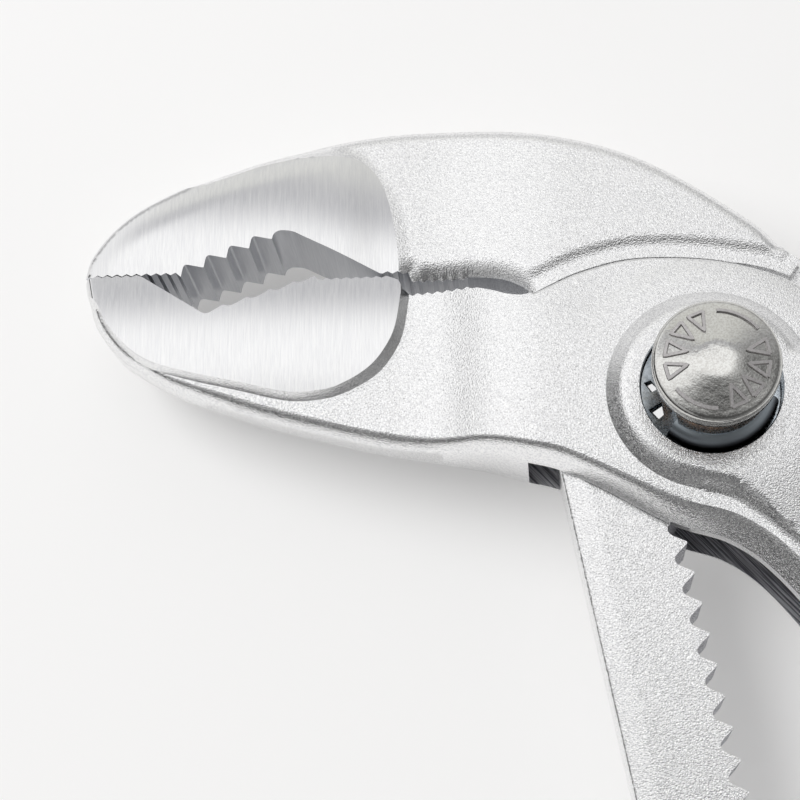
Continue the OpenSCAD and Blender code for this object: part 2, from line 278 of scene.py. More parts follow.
handle_right = curve([[12.6, 8.4], [15.4, 7.2], [20.5, 3.6], [27, -5.5], [34.5, -18.5], [42.3, -33.4],
                      [51.4, -57.1], [63.6, -91.1], [80.9, -133.2], [98.2, -176.3]])
lower_back = curve([[89.8, -179.7], [72.1, -136.8], [54.4, -94.9], [38.6, -62.9], [25.7, -43],
                    [19.5, -35.5], [13.5, -28.5], [6.2, -19], [1.5, -15.1], [-4, -13.1], [-11, -9.1],
                    [-15.1, -7.1], [-18.4, -6.2], [-22.7, -5.2], [-27.1, -4.8], [-32.9, -3.9],
                    [-38.6, -2.5], [-46, -0.4], [-54.4, 2.7], [-58.2, 4.8], [-61.1, 6.9],
                    [-63.6, 10.4], LOWER_TIP], 8)
outer_outline = joined(lower_bite, cheek_edge, handle_right, lower_back[:-1])
lower_pad = joined(
    [[-67, 16], [-31.1, 16]],
    curve([[-31, 12], [-31.6, 8.3], [-32.7, 5.9], [-34.3, 4], [-36.7, 2.5], [-39, 1.75], [-42.6, 1.6],
           [-47.8, 2.8], [-53.4, 4.1], [-57.4, 5.45], [-60.1, 7.5], [-62, 9.9], [-63.4, 12.4],
           [-67, 15]], 8))
pocket = np.array([[-18.3, -30], [-18.3, -5], [-19.5, 9.5], [-19.2, 40], [22, 40], [14.9, 2],
                   [14.9, -3.5], [25, -57]])
spine = joined(
    curve([[3, 4], [10.5, 5], [16.5, 1.5], [26, -10], [38, -32], [48.5, -57], [57, -80]]),
    curve([[50, -82], [35.5, -54], [22, -32.5], [10.4, -18.9], [5.7, -14.5], [3.4, -12.6], [1.2, -11.2],
           [-1.8, -10.3], [-4.5, -8.5]]))

# The inner lever's step beside the cheeks: its gap at rest and while the jaws open, and its last angle
SHOULDER_GAP, SWEEP_GAP, SHOULDER_STOP = 0.45, 0.12, 54
SHOULDER_STEP, JAW_OPENING = 0.5, 20
OUTWARDS = np.linspace(1.03, 1.4, 12)


def polar(line):
    return np.degrees(np.arctan2(line[:, 1], line[:, 0])), np.hypot(*line.T)


def shoulder_line():
    """Inner lever's step beside the cheeks, kept clear of them while the jaws open."""
    edge = densified(joined(cheek_edge, handle_right[:1]), SHOULDER_STEP)
    edge_angle, edge_r = polar(edge[::-1])
    line = offset_line(edge, SHOULDER_GAP)
    angle, r = polar(line)
    swept = [np.interp(angle - turn, edge_angle, edge_r) for turn in range(JAW_OPENING + 1)]
    line *= (np.maximum(r, np.max(swept, axis=0) + SWEEP_GAP) / r)[:, None]
    return line[angle > SHOULDER_STOP]


# At its end the step turns straight outwards and leaves the lever
shoulder_arc = shoulder_line()
shoulder = joined(shoulder_arc, np.outer(OUTWARDS, shoulder_arc[-1]))
below_shoulder = joined(shoulder, [[60, 5], [100, -200], [-60, -200], [-30, 8]])


# Half thickness of the levers over the plan

# Jaw pads, and the slope around the lower one: its width at the tip and what is added along x
PAD_CROWN_R, PAD_SWELL = 72, 0.25
PAD_ROLL, PAD_ROLL_WIDTH = 0.35, 3.6
PAD_SINK, PAD_SINK_X = 0.85, (-39, -31.5)
UPPER_MIDDLE_Y, UPPER_MIDDLE_DROP, UPPER_MIDDLE_X = 21.7, 2.4, (-45, -33)
LOWER_MIDDLE_Y = 9
UPPER_BEVEL = 1.2
TIP_BEVEL, BEVEL_CHANGES = 0.35, (((-58, -42), 0.25), ((-38, -33), 0.15))

# Inner lever
UPPER_CLIMB_X = (-29, -14)
STEP_WIDTH = 0.04
COVE_FLOOR, COVE_END, COVE_DROP = 1.2, 2.7, 0.3
THROAT_DROP, THROAT_WIDTH, THROAT_X = 0.75, 2.2, (-31.5, -29.5)
ARM_SLOPE, ARM_SLOPE_WIDTH = 0.62, 2.2
BACK_ROUND, PAD_BACK_ROUND, ARM_ROUND, INNER_HANDLE_ROUND = 1.5, 0.6, 0.35, 0.8

# Outer lever
LOWER_CLIMB_X, CLIMB_BEND, CLIMB_POWER = (-26, -15), 0.08, 2.2
JAW_DIP, JAW_DIP_X = 0.6, (-32, -21)
HANDLE_TAPER, RELIEF_FADE = (34, 66), (92, 66)
COLLAR_R, COLLAR_FOOT_R, COLLAR_RISE, COLLAR_BEND = 8.85, 10.35, 1.3, 0.16
RIB_RISE, RIB_SPREAD, RIB_RUN = 0.48, 1.5, (8, 20)
CHEEK_FALL, CHEEK_FALL_WIDTH, CHEEK_FALL_SINE = 0.02, 4, (0.4, 0.8)
BORE_BEVEL, CHEEK_ROUND, OUTER_HANDLE_ROUND, UNDER_ROUND = 0.1, 0.35, 1.25, 3.2

# Slant along the outer lever's back: width, height and roundness on the jaw, and what is added along x
JAW_SLANT, SLANT_LIMIT = (1.3, 1.3, 2), 0.4
SLANT_CHANGES = {"box joint": ((-30, -19), (0.3, 1.6, 0)),
                 "cheek": ((-14, 2), (0.6, -1, -0.85)),
                 "tip": ((-48, -58), (-0.35, 1.9, 0.2))}

# Edges that are rounded over, with their radii
jaw_back = upper_back[3:]
inner_rounds = [(arm_left, ARM_ROUND), (inner_left[1:], INNER_HANDLE_ROUND),
                (inner_right, INNER_HANDLE_ROUND)]
outer_rounds = [(cheek_edge, CHEEK_ROUND), (handle_right, OUTER_HANDLE_ROUND)]


def pad_rise(p, middle_y):
    """Height of a slightly rounded pad over its jaw, highest along its middle line."""
    return PAD_RISE + PAD_SWELL - (p[:, 1] - middle_y) ** 2 / (2 * PAD_CROWN_R)


def lower_bevel(x):
    """Width of the slope around the lower pad, from tip to throat."""
    width = TIP_BEVEL
    for stretch, wider in BEVEL_CHANGES:
        width = width + wider * eased(x, *stretch)
    return width


def inner_half(p):
    """Half thickness of the inner lever: jaw, cove beside the cheeks, arm and handle."""
    x = p[:, 0]
    jaw = JAW_HALF + (SHOULDER_HALF - JAW_HALF) * eased(x, *UPPER_CLIMB_X)
    beyond = np.where(inside(p, below_shoulder), -1, 1) * distance(p, shoulder)
    cove = jaw - COVE_DROP * (1 - eased(beyond, COVE_FLOOR, COVE_END))
    near_throat = nearness(distance(p, upper_throat), THROAT_WIDTH)
    throat = jaw - THROAT_DROP * near_throat ** 2 * eased(x, *THROAT_X)
    half = np.where(beyond > STEP_WIDTH / 2, np.minimum(cove, throat), ARM_HALF)
    back = distance(p, jaw_back)
    pad = progress(depth_in(p, upper_pad), -UPPER_BEVEL, 0)
    middle_y = UPPER_MIDDLE_Y - UPPER_MIDDLE_DROP * eased(x, *UPPER_MIDDLE_X)
    roll = PAD_ROLL * nearness(back, PAD_ROLL_WIDTH) ** 2
    sink = PAD_SINK * eased(x, *PAD_SINK_X)
    half += pad * (pad_rise(p, middle_y) - roll - sink)
    half -= rounding(back, BACK_ROUND + (PAD_BACK_ROUND - BACK_ROUND) * pad)
    half -= ARM_SLOPE * nearness(distance(p, arm_left), ARM_SLOPE_WIDTH)
    for line, radius in inner_rounds:
        half -= rounding(distance(p, line), radius)
    return half, half


def collar_relief(p, rise):
    """Height over the cheek of the collar around the bore and of the rib that leads to the handle."""
    r = np.hypot(*p.T)
    beyond = np.minimum(r, COLLAR_FOOT_R) - COLLAR_R
    foot = soft_start(COLLAR_FOOT_R - COLLAR_R, COLLAR_BEND)
    collar = rise * (1 - soft_start(beyond, COLLAR_BEND) / foot)
    height = rise + (RIB_RISE - rise) * eased(p @ HANDLE_AXIS, *RIB_RUN)
    rib = height * eased(depth_in(p, spine), 0, RIB_SPREAD * height)
    above_bore = eased(p[:, 1] / np.maximum(r, 1), *CHEEK_FALL_SINE)
    fall = CHEEK_FALL * np.clip(r - COLLAR_FOOT_R, 0, CHEEK_FALL_WIDTH) ** 2 * above_bore
    return np.maximum(collar, rib) - fall


def back_edge(x):
    """Width, height and roundness of the slant along the outer lever's back."""
    width, height, roundness = JAW_SLANT
    for stretch, (wider, higher, rounder) in SLANT_CHANGES.values():
        share = eased(x, *stretch)
        width = width + wider * share
        height = height + higher * share
        roundness = roundness + rounder * share
    return width, height, roundness


def outer_half(p):
    """Half thickness of the outer lever above and below: jaw, box joint, collar and spine, handle."""
    x = p[:, 0]
    run = p @ HANDLE_AXIS
    start, end = LOWER_CLIMB_X
    climb = np.clip(soft_start((x - start) / (end - start), CLIMB_BEND), 0, 1)
    box = JAW_HALF + (BOX_HALF - JAW_HALF) * (1 - (1 - climb) ** CLIMB_POWER)
    handle = BOX_HALF + (HANDLE_HALF - BOX_HALF) * progress(run, *HANDLE_TAPER)
    pad = progress(depth_in(p, lower_pad), -lower_bevel(x), 0)
    dip = JAW_DIP * (1 - eased(x, *JAW_DIP_X))
    half = np.minimum(box, handle) - dip + pad * (dip + pad_rise(p, LOWER_MIDDLE_Y))
    half -= np.clip(BORE_BEVEL - (np.hypot(*p.T) - BORE_R), 0, BORE_BEVEL)
    for line, radius in outer_rounds:
        half -= rounding(distance(p, line), radius)
    back = distance(p, lower_back)
    width, height, roundness = back_edge(x)
    slant = np.minimum(height, SLANT_LIMIT * half) * nearness(back, width) ** roundness
    fading = progress(run, *RELIEF_FADE)
    above = half - slant + collar_relief(p, COLLAR_RISE) * fading
    below = half - rounding(back, UNDER_ROUND) + collar_relief(p, BOSS_HALF - BOX_HALF) * fading
    return above, below


# Meshes

# Places of the materials in a lever's list
PEARL, GROUND, CUT, MILLED = range(4)

# Share of its step that a grid keeps clear of lines
GRID_GAP = 0.6

# Turns of a round at which its mesh has points, and the share of their depth that they keep in corners
ROUND_ANGLES, KEPT_DEPTH = (20, 40, 60, 80, 90), 0.9

# Distance at which the corners of a plan are joined
WELD = 1e-5


def linked(name, data):
    """A new object of the scene around its mesh, camera or light."""
    obj = bpy.data.objects.new(name, data)
    bpy.context.scene.collection.objects.link(obj)
    return obj


def new_object(name, verts, faces, materials):
    mesh = bpy.data.meshes.new(name)
    mesh.from_pydata([tuple(v) for v in verts], [], [tuple(f) for f in faces])
    mesh.update()
    for m in materials:
        mesh.materials.append(m)
    return linked(name, mesh)


def smoothed(obj, sharp_angle=24):
    obj.data.shade_smooth()
    obj.data.set_sharp_from_angle(angle=math.radians(sharp_angle))
    return obj


def near_camera(p):
    """Which points lie in the photographed end of the tool."""
    return (p[:, 1] > VIEW_LOW_Y) & (p[:, 0] < VIEW_RIGHT_X)


def grid_points(outline, lines, step, near):
    """Points of a square grid inside the outline, near the camera or not, clear of the listed lines."""
    low, high = outline.min(0), outline.max(0)
    xs, ys = np.meshgrid(np.arange(low[0], high[0], step), np.arange(low[1], high[1], step))
    p = np.column_stack([xs.ravel(), ys.ravel()])
    p = p[near_camera(p) == near]
    p = p[inside(p, outline)]
    for line in lines:
        p = p[distance(p, line) > GRID_GAP * step]
    return p


def inset_rings(outline, line, radius):
    """Points along a rounded edge, at the depths where its round needs them."""
    dense = densified(line, EDGE_STEP)
    out = []
    for angle in ROUND_ANGLES:
        depth = radius * (1 - math.cos(math.radians(angle)))
        for sign in (1, -1):
            p = offset_line(dense, sign * depth)
            p = p[inside(p, outline)]
            out.append(p[distance(p, line) > KEPT_DEPTH * depth])
    return np.vstack(out)


def plan_mesh(loops, lines, points):
    """Triangles over the plan that keep the edges of loops and lines, inside the first loop."""
    edges, first = [], 0
    for loop in loops:
        n = len(loop)
        edges += [(first + i, first + (i + 1) % n) for i in range(n)]
        first += n
    for line in lines:
        edges += [(first + i, first + i + 1) for i in range(len(line) - 1)]
        first += len(line)
    corners = [Vector(p) for p in np.vstack(loops + lines + points)]
    verts, _, faces, _, _, _ = delaunay_2d_cdt(corners, edges, [], 0, WELD)
    plan = np.array([tuple(v) for v in verts])
    tris = np.array([tuple(f) for f in faces])
    return plan, tris[inside(plan[tris].mean(1), loops[0])]


def walls_of(tris, hollow, count):
    """Outer walls of a raised plan, and the faces of the hollow in its middle.

    Corners come in four layers: top, roof and base of the hollow, bottom.
    """
    roof, base, bottom = count, 2 * count, 3 * count
    owner = {}
    for t, (a, b, c) in enumerate(tris.tolist()):
        owner.update({(a, b): t, (b, c): t, (c, a): t})
    touching = set(tris[hollow].ravel().tolist())
    walls, room = [], []
    for (i, j), t in owner.items():
        other = owner.get((j, i))
        if other is None and hollow[t]:
            walls += [(j, i, i + roof, j + roof), (j + base, i + base, i + bottom, j + bottom)]
        elif other is None:
            down = [i + roof, i + base] if i in touching else []
            up = [j + base, j + roof] if j in touching else []
            walls.append((j, i, *down, i + bottom, j + bottom, *up))
        elif hollow[other] and not hollow[t]:
            room.append((j + roof, i + roof, i + base, j + base))
    for a, b, c in tris[hollow].tolist():
        room += [(c + roof, b + roof, a + roof), (a + base, b + base, c + base)]
    return walls, room


def lever_plan(outline, holes, hollow, rounds, features):
    """Triangles over a lever's plan, and which of them lie over its hollow.

    rounds are (line, radius) of rounded edges, and features lines that the mesh follows.
    """
    bounds = [densified(loop, EDGE_STEP, True) for loop in [outline] + holes]
    lines = [edge_of(b) for b in bounds] + features
    points = [inset_rings(outline, line, radius) for line, radius in rounds]
    points = [p[np.min([distance(p, line) for line in lines], axis=0) > TOUCHING] for p in points]
    points += [grid_points(outline, lines, step, near)
               for step, near in ((FINE_STEP, True), (COARSE_STEP, False))]
    for hole in bounds[1:]:
        points = [p[~inside(p, hole)] for p in points]
    loops = bounds + [densified(h, HOLLOW_STEP, True) for h in hollow]
    plan, tris = plan_mesh(loops, features, points)
    middle = plan[tris].mean(1)
    for hole in bounds[1:]:
        kept = ~inside(middle, hole)
        tris, middle = tris[kept], middle[kept]
    is_hollow = np.zeros(len(tris), bool)
    for h in hollow:
        is_hollow |= inside(middle, h)
    return plan, tris, is_hollow


def relief_solid(name, plan, tris, is_hollow, half_of, materials, pad, cut_lines):
    """A closed lever: a relief face above and one below the middle plane, joined by walls.

    Faces in pad take the ground material, walls along each of cut_lines the one listed with it, and the
    hollow the milled one.
    """
    above, below = half_of(plan)
    room = np.full(len(plan), ARM_HALF + ARM_GAP)
    corners = np.vstack([np.column_stack([plan, MID_Z + z]) for z in (above, room, -room, -below)])
    count = len(plan)
    walls, room_faces = walls_of(tris, is_hollow, count)
    faces = tris.tolist() + (tris[:, ::-1] + 3 * count).tolist() + walls + room_faces
    on_pad = np.where(depth_in(plan[tris].mean(1), pad) > -TOUCHING, GROUND, PEARL).tolist()
    wall_mid = np.array([(plan[w[0] % count] + plan[w[1] % count]) / 2 for w in walls])
    wall_index = np.full(len(walls), PEARL)
    for line, material in cut_lines:
        wall_index[distance(wall_mid, line) < TOUCHING] = material
    index = on_pad + on_pad + wall_index.tolist() + [MILLED] * len(room_faces)

    used = np.unique(np.concatenate([np.array(f) for f in faces]))
    fresh = np.zeros(len(corners), int)
    fresh[used] = np.arange(len(used))
    renumbered = [fresh[list(f)].tolist() for f in faces]
    obj = new_object(name, corners[used] * MM, renumbered, materials)
    obj.data.polygons.foreach_set("material_index", index)
    return obj


def creased(obj):
    """Keeps the edges between two materials sharp."""
    seen, between = {}, set()
    for face in obj.data.polygons:
        for key in face.edge_keys:
            if seen.setdefault(key, face.material_index) != face.material_index:
                between.add(key)
    for edge in obj.data.edges:
        if edge.key in between:
            edge.use_edge_sharp = True
    return obj


# Materials

# Radius in millimetres at which the painted shade on the bolt's shoulder starts to darken
SHADE_FROM_R = 5.2


def new_material(name, base, metallic, roughness):
    material = bpy.data.materials.new(name)
    material.use_nodes = True
    shader = material.node_tree.nodes["Principled BSDF"]
    shader.inputs["Base Color"].default_value = (*base, 1)
    shader.inputs["Metallic"].default_value = metallic
    shader.inputs["Roughness"].default_value = roughness
    return material, material.node_tree, shader


def new_node(tree, kind, **values):
    """A node of that kind, with values on its inputs."""
    node = tree.nodes.new(kind)
    for socket, value in values.items():
        node.inputs[socket].default_value = value
    return node


def place(tree, stretch=(1, 1, 1), turn=(0, 0, 0)):
    """Object coordinates that stretch a pattern along its own turned axes."""
    coords = new_node(tree, "ShaderNodeTexCoord")
    mapping = new_node(tree, "ShaderNodeMapping", Scale=stretch, Rotation=[math.radians(a) for a in turn])
    mapping.vector_type = "TEXTURE"
    tree.links.new(coords.outputs["Object"], mapping.inputs["Vector"])
    return mapping.outputs["Vector"]


def noise(tree, vector, scale, detail=2, rough=0.5):
    node = new_node(tree, "ShaderNodeTexNoise", Scale=scale, Detail=detail, Roughness=rough)
    tree.links.new(vector, node.inputs["Vector"])
    return node.outputs["Fac"]


def ramp(tree, value, stops):
    """Colours along a value, from stops of a place and a colour or a grey level."""
    node = new_node(tree, "ShaderNodeValToRGB")
    bands = node.color_ramp.elements
    while len(bands) < len(stops):
        bands.new(0.5)
    for band, (at, colour) in zip(bands, stops):
        band.position = at
        band.color = (*np.broadcast_to(colour, 3), 1)
    tree.links.new(value, node.inputs["Fac"])
    return node.outputs["Color"]


def follow(tree, shader, value, stops, socket="Base Color"):
    """Lets the shader's colour, or another input, follow a value through a ramp."""
    tree.links.new(ramp(tree, value, stops), shader.inputs[socket])


def bump(tree, shader, height, distance_m, before=None):
    node = new_node(tree, "ShaderNodeBump", Strength=1, Distance=distance_m)
    tree.links.new(height, node.inputs["Height"])
    if before is not None:
        tree.links.new(before, node.inputs["Normal"])
    tree.links.new(node.outputs["Normal"], shader.inputs["Normal"])
    return node.outputs["Normal"]


def pearl_chrome():
    """Satin chrome over the fine grain of a forging."""
    material, tree, shader = new_material("pearl_chrome", (0.92, 0.92, 0.925), 1, 0.24)
    at = place(tree)
    fine = noise(tree, at, 7000, 1.5)
    coarse = noise(tree, at, 2600)
    specks = noise(tree, at, 5200)
    follow(tree, shader, specks,
           [(0.36, (0.78, 0.78, 0.79)), (0.5, (0.92, 0.92, 0.925)), (0.64, (0.98, 0.98, 0.975))])
    follow(tree, shader, coarse, [(0.3, 0.14), (0.7, 0.22)], "Roughness")
    grain = bump(tree, shader, fine, 4.8e-5)
    bump(tree, shader, coarse, 1.0e-5, grain)
    return material


def ground_steel():
    """Jaw pads ground bright, with fine lines across the jaws."""
    material, tree, shader = new_material("ground_steel", (0.78, 0.78, 0.785), 1, 0.24)
    lines = noise(tree, place(tree, (1, 50, 1)), 14000, rough=0.6)
    streaks = noise(tree, place(tree, (1, 25, 1)), 5200, rough=0.6)
    follow(tree, shader, streaks, [(0.3, (0.72, 0.72, 0.73)), (0.7, 0.78)])
    follow(tree, shader, lines, [(0.3, 0.12), (0.7, 0.22)], "Roughness")
    bump(tree, shader, lines, 2.0e-6)
    return material


def cut_steel():
    """Tooth walls, broached with fine upright lines."""
    material, tree, shader = new_material("cut_steel", (0.66, 0.67, 0.7), 1, 0.32)
    lines = noise(tree, place(tree, (1, 1, 30)), 7000, rough=0.6)
    follow(tree, shader, lines, [(0.3, (0.62, 0.63, 0.66)), (0.7, (0.72, 0.73, 0.75))])
    bump(tree, shader, lines, 1.0e-6)
    return material


def milled_steel():
    """Inside of the box joint, with slanting cutter marks."""
    material, tree, shader = new_material("milled_steel", (0.5, 0.5, 0.53), 1, 0.55)
    marks = noise(tree, place(tree, (40, 1, 1), (0, 0, -48)), 6000, 1)
    follow(tree, shader, marks, [(0.4, (0.28, 0.28, 0.31)), (0.6, (0.93, 0.93, 0.96))])
    bump(tree, shader, marks, 4.0e-5)
    return material


def bright_chrome():
    """Polished cap with a slight ripple and a few pits."""
    material, tree, shader = new_material("bright_chrome", (0.76, 0.755, 0.745), 1, 0.1)
    at = place(tree)
    ripple = noise(tree, at, 900, 3)
    haze = noise(tree, at, 5200)
    follow(tree, shader, haze, [(0.35, 0.05), (0.75, 0.14)], "Roughness")
    follow(tree, shader, haze, [(0.36, (0.55, 0.54, 0.52)), (0.6, (0.68, 0.68, 0.66))])
    wave = bump(tree, shader, ripple, 2.6e-5)
    bump(tree, shader, haze, 7.0e-6, wave)
    return material


def rubbed_chrome():
    """Raised marks of the cap, rubbed duller than the chrome around them."""
    material, tree, shader = new_material("rubbed_chrome", (0.64, 0.62, 0.62), 1, 0.5)
    scuffs = noise(tree, place(tree), 4000)
    follow(tree, shader, scuffs, [(0.35, (0.58, 0.56, 0.56)), (0.65, (0.7, 0.68, 0.68))])
    return material


def zinc_plate(name, shade):
    """Bluish zinc plate with a mottled passivation, painted darker for shade where shade is below one."""
    tones = ((0.46, 0.52, 0.58), (0.62, 0.67, 0.71), (0.7, 0.71, 0.68))
    dark, mid, pale = [np.array(tone) * shade for tone in tones]
    material, tree, shader = new_material(name, mid, 1, 0.25)
    at = place(tree)
    mottle = noise(tree, at, 700, 3)
    fine = noise(tree, at, 3200)
    follow(tree, shader, mottle, [(0.3, dark), (0.55, mid), (0.8, pale)])
    follow(tree, shader, fine, [(0.3, 0.16), (0.7, 0.34)], "Roughness")
    bump(tree, shader, fine, 6.0e-6)
    return material


def shadowed_zinc():
    """Zinc of the bolt's shoulder with painted shade: bluish under the button, darkening to black towards
    the bore.
    """
    material, tree, shader = new_material("shadowed_zinc", (0.3, 0.33, 0.36), 1, 0.35)
    at = place(tree)
    level = new_node(tree, "ShaderNodeVectorMath")
    level.operation = "MULTIPLY"
    level.inputs[1].default_value = (1, 1, 0)
    tree.links.new(at, level.inputs[0])
    radius = new_node(tree, "ShaderNodeVectorMath")
    radius.operation = "LENGTH"
    tree.links.new(level.outputs["Vector"], radius.inputs[0])
    share = new_node(tree, "ShaderNodeMapRange")
    share.inputs["From Min"].default_value = SHADE_FROM_R * MM
    share.inputs["From Max"].default_value = BORE_R * MM
    tree.links.new(radius.outputs["Value"], share.inputs["Value"])
    # Painted shade: pale bluish at the neck, falling to black at the bore
    follow(tree, shader, share.outputs["Result"],
           [(0.0, (0.7, 0.76, 0.8)), (0.35, (0.42, 0.47, 0.51)), (0.7, (0.06, 0.065, 0.075)),
            (0.9, (0.01, 0.01, 0.012))])
    bump(tree, shader, noise(tree, at, 3200), 6.0e-6)
    return material


def copper_wire():
    """Copper-washed spring wire with draw marks."""
    material, tree, shader = new_material("copper_wire", (0.72, 0.46, 0.32), 1, 0.26)
    drawn = noise(tree, place(tree), 2500)
    follow(tree, shader, drawn, [(0.3, (0.6, 0.36, 0.24)), (0.7, (0.8, 0.56, 0.42))])
    bump(tree, shader, drawn, 4.0e-6)
    return material


def oiled_steel():
    """Dark spring steel of the retaining ring."""
    material, tree, shader = new_material("oiled_steel", (0.2, 0.21, 0.22), 1, 0.36)
    film = noise(tree, place(tree), 900, 3)
    follow(tree, shader, film, [(0.3, (0.14, 0.14, 0.16)), (0.7, (0.27, 0.27, 0.28))])
    return material


def grip_plastic():
    """Soft plastic sleeve with a fine moulded grain."""
    material, tree, shader = new_material("grip_plastic", (0.035, 0.045, 0.06), 0, 0.5)
    at = place(tree)
    grain = noise(tree, at, 1500, 3)
    worn = noise(tree, at, 60, 3)
    follow(tree, shader, worn, [(0.35, (0.03, 0.038, 0.052)), (0.7, (0.05, 0.06, 0.078))])
    follow(tree, shader, grain, [(0.3, 0.42), (0.7, 0.6)], "Roughness")
    bump(tree, shader, grain, 4.0e-5)
    return material


def painted(node, material):
    """Gives a carried-over solid its material."""
    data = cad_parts[node].data
    data.materials.clear()
    data.materials.append(material)


ground = ground_steel()
steels = [pearl_chrome(), ground, cut_steel(), milled_steel()]
chrome, rubbed, copper = bright_chrome(), rubbed_chrome(), copper_wire()
# The bolt shoulder's zinc carries painted shade that darkens towards the bore
# The lock gate's zinc is a copy of the plate painted darker for the shade in the bore
zinc, gate_painted_shade_zinc, shoulder_painted_shade_zinc = zinc_plate("zinc_plate", 1.0), zinc_plate("gate_painted_shade_zinc", 0.6), shadowed_zinc()
oiled, plastic = oiled_steel(), grip_plastic()


# Levers

# Where the mesh follows the reliefs: distances, radii, shares of a width and heights along the arm
COVE_LINES = (COVE_FLOOR, 1.6, 1.95, 2.3, COVE_END)
COLLAR_LINES = (BORE_R + BORE_BEVEL, 8.2, 8.5, 8.8, 9.1, 9.4, 9.9, COLLAR_FOOT_R)
RIB_LINES = (0, 0.35, 0.65, 1)
SLANT_LINES = (0.4, 0.6, 0.75, 0.87, 0.95, 1)
ARM_LINE_Y = np.arange(-49, 10, 0.5)
RING_STEPS = 120


def ring_line(radius):
    return arc(radius, 0, 360, RING_STEPS)


def inner_lever():
    slot = slot_outline()
    pad_edge = densified(upper_pad[:-2], EDGE_STEP)
    features = [pad_edge, offset_line(pad_edge, -UPPER_BEVEL)]
    features += [offset_line(shoulder, d) for d in (0, STEP_WIDTH)]
    features += [offset_line(shoulder_arc, d)[:-1] for d in COVE_LINES]
    features += [leaned([[ARM_SLOPE_WIDTH - ARM_LEFT, y] for y in ARM_LINE_Y])]
    rounds = [(jaw_back, BACK_ROUND)] + inner_rounds
    cut_lines = [(upper_bite, CUT), (edge_of(slot), MILLED)]
    plan = lever_plan(inner_outline, [slot], [], rounds, features)
    solid = relief_solid("inner_lever_forging", *plan, inner_half, steels, upper_pad, cut_lines)
    lever = creased(smoothed(solid))
    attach(lever, "inner_lever")
    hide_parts("upper_jaw_lever")


def outer_lever():
    bore = ring_line(BORE_R)[:-1]
    pad_edge = densified(lower_pad[1:], EDGE_STEP)
    rib_edge = densified(edge_of(spine), 2 * EDGE_STEP)
    back = densified(lower_back, EDGE_STEP)
    slant_width = back_edge(back[:, :1])[0]
    features = [pad_edge, offset_line(pad_edge, lower_bevel(pad_edge[:, :1]))]
    features += [ring_line(r) for r in COLLAR_LINES]
    features += [offset_line(rib_edge, -share * RIB_SPREAD * RIB_RISE) for share in RIB_LINES]
    features += [offset_line(back, -share * slant_width) for share in SLANT_LINES]
    rounds = [(lower_back, UNDER_ROUND)] + outer_rounds
    plan = lever_plan(outer_outline, [bore], [pocket], rounds, features)
    solid = relief_solid("outer_lever_forging", *plan, outer_half, steels, lower_pad, [(lower_bite, CUT)])
    lever = creased(smoothed(solid))
    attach(lever, "outer_lever")
    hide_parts("lower_jaw_lever")


# Turned and swept shapes

def round_point(r, angle, z):
    """A corner about the pivot, from millimetres to metres."""
    return (r * math.cos(angle) * MM, r * math.sin(angle) * MM, z * MM)


def side_faces(count, n, first=0, flipped=False):
    """Faces between a row of closed sections, count sections of n corners each."""
    faces = []
    for i in range(count - 1):
        for k in range(n):
            a, b = first + i * n + k, first + i * n + (k + 1) % n
            faces.append((a, a + n, b + n, b) if flipped else (a, b, b + n, a + n))
    return faces


def tube_faces(count, n, first=0, flipped=False):
    """The same faces with both ends closed."""
    start = tuple(range(first, first + n))
    end = tuple(range(first + (count - 1) * n, first + count * n))
    ends = [start, end[::-1]] if flipped else [start[::-1], end]
    return side_faces(count, n, first, flipped) + ends


def turned(name, profile, material, sides):
    """A solid turned about the pivot from a profile that starts and ends on the axis."""
    angles = 2 * np.pi * np.arange(sides) / sides
    rings = profile[1:-1]
    verts = [round_point(r, a, z) for r, z in rings for a in angles]
    verts += [round_point(0, 0, z) for _, z in (profile[0], profile[-1])]
    faces = side_faces(len(rings), sides)
    last = (len(rings) - 1) * sides
    for k in range(sides):
        j = (k + 1) % sides
        faces += [(len(verts) - 2, j, k), (len(verts) - 1, last + k, last + j)]
    return new_object(name, verts, faces, [material])


# Push button

BUTTON_R, BUTTON_LOW, BUTTON_TOP, BUTTON_SEAT = 6.2, 21.2, 24.0, 22.5
BUTTON_EDGE, BUTTON_FALL, BUTTON_WALL = 0.6, 0.78, 0.95
BUTTON_FLAT_R, BUTTON_BEND = 1.7, 0.2
BUTTON_SIDES, CROWN_RINGS = 128, 24
SEAT_BEVEL, RIM_BEVEL = 0.3, 0.1
RIM_ROUND = ((0.25, 0), (0.05, 0.12), (0, 0.35))

# Marks on the cap: ridges, arcs and arrowheads
MARK_WIDTH, MARK_HEIGHT, MARK_STEP = 0.4, 0.22, 0.15
MARK_SECTION = ((-0.5, -0.6), (-0.42, 0.8), (-0.34, 1), (0.34, 1), (0.42, 0.8), (0.5, -0.6))
MARK_BASE_R, MARK_POINT_R, ARROW_HALF = 4.95, 2.95, 0.78
ARC_STARTS, ARC_SPAN, ARC_STEPS = (36, 216), 52, 16
ARROW_STARTS, ARROW_TURN, ARROWS = (112, 292), 27, 4


def dome(r):
    """Height of the button's crown at a radius: a flat middle and a sloping rim."""
    slope = BUTTON_FALL / (BUTTON_R - BUTTON_EDGE - BUTTON_FLAT_R)
    return BUTTON_TOP - slope * soft_start(r - BUTTON_FLAT_R, BUTTON_BEND)


